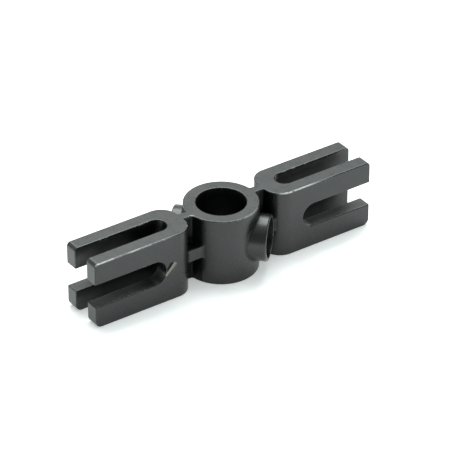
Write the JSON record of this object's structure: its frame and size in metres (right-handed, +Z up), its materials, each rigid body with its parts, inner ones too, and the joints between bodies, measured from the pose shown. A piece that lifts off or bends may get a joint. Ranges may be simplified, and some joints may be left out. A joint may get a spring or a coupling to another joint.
{
  "type": "double-fork shaft coupling",
  "caption": "Shaft coupling member: round hub with a through bore, clamped by set screws in side bosses, between opposed arms slotted upright and across.",
  "frame": {"origin": "on the shaft bore's axis, in the plane of the underside", "axes": "+X along the arms towards the right fork, +Z up along the shaft bore, so the front boss is at -46 degrees from +X, on the -Y side"},
  "size_m": [0.052, 0.0162, 0.0116],
  "materials": {
    "moulding": "satin dark grey, moulded",
    "insert_brass": "machined",
    "screw_steel": "black oxide",
    "slug_brass": "cut"
  },
  "bodies": {
    "coupling": {"hub": "moulding", "left_fork": "moulding", "right_fork": "moulding", "front_insert": "insert_brass", "rear_insert": "insert_brass"},
    "front_slug": {"front_slug": "slug_brass"},
    "front_screw": {"front_set_screw": "screw_steel"},
    "rear_slug": {"rear_slug": "slug_brass"},
    "rear_screw": {"rear_set_screw": "screw_steel"}
  },
  "joints": [
    {"name": "front_screw_feed", "type": "slide", "parent": "coupling", "child": "front_slug", "axis": [0.6947, -0.7193, 0], "range_m": [-0.0005, 0.0006]},
    {"name": "front_screw_turn", "type": "hinge", "parent": "front_slug", "child": "front_screw", "pos_m": [0, 0, 0.0058], "axis": [0.6947, -0.7193, 0], "range_deg": [-361, 433]},
    {"name": "rear_screw_feed", "type": "slide", "parent": "coupling", "child": "rear_slug", "axis": [-0.6947, 0.7193, 0], "range_m": [-0.0005, 0.0006]},
    {"name": "rear_screw_turn", "type": "hinge", "parent": "rear_slug", "child": "rear_screw", "pos_m": [0, 0, 0.0058], "axis": [-0.6947, 0.7193, 0], "range_deg": [-361, 433]}
  ],
  "couplings": [
    {"joint": "front_screw_turn", "follows": "front_screw_feed", "rad_per_m": 12566},
    {"joint": "rear_screw_turn", "follows": "rear_screw_feed", "rad_per_m": 12566}
  ]
}
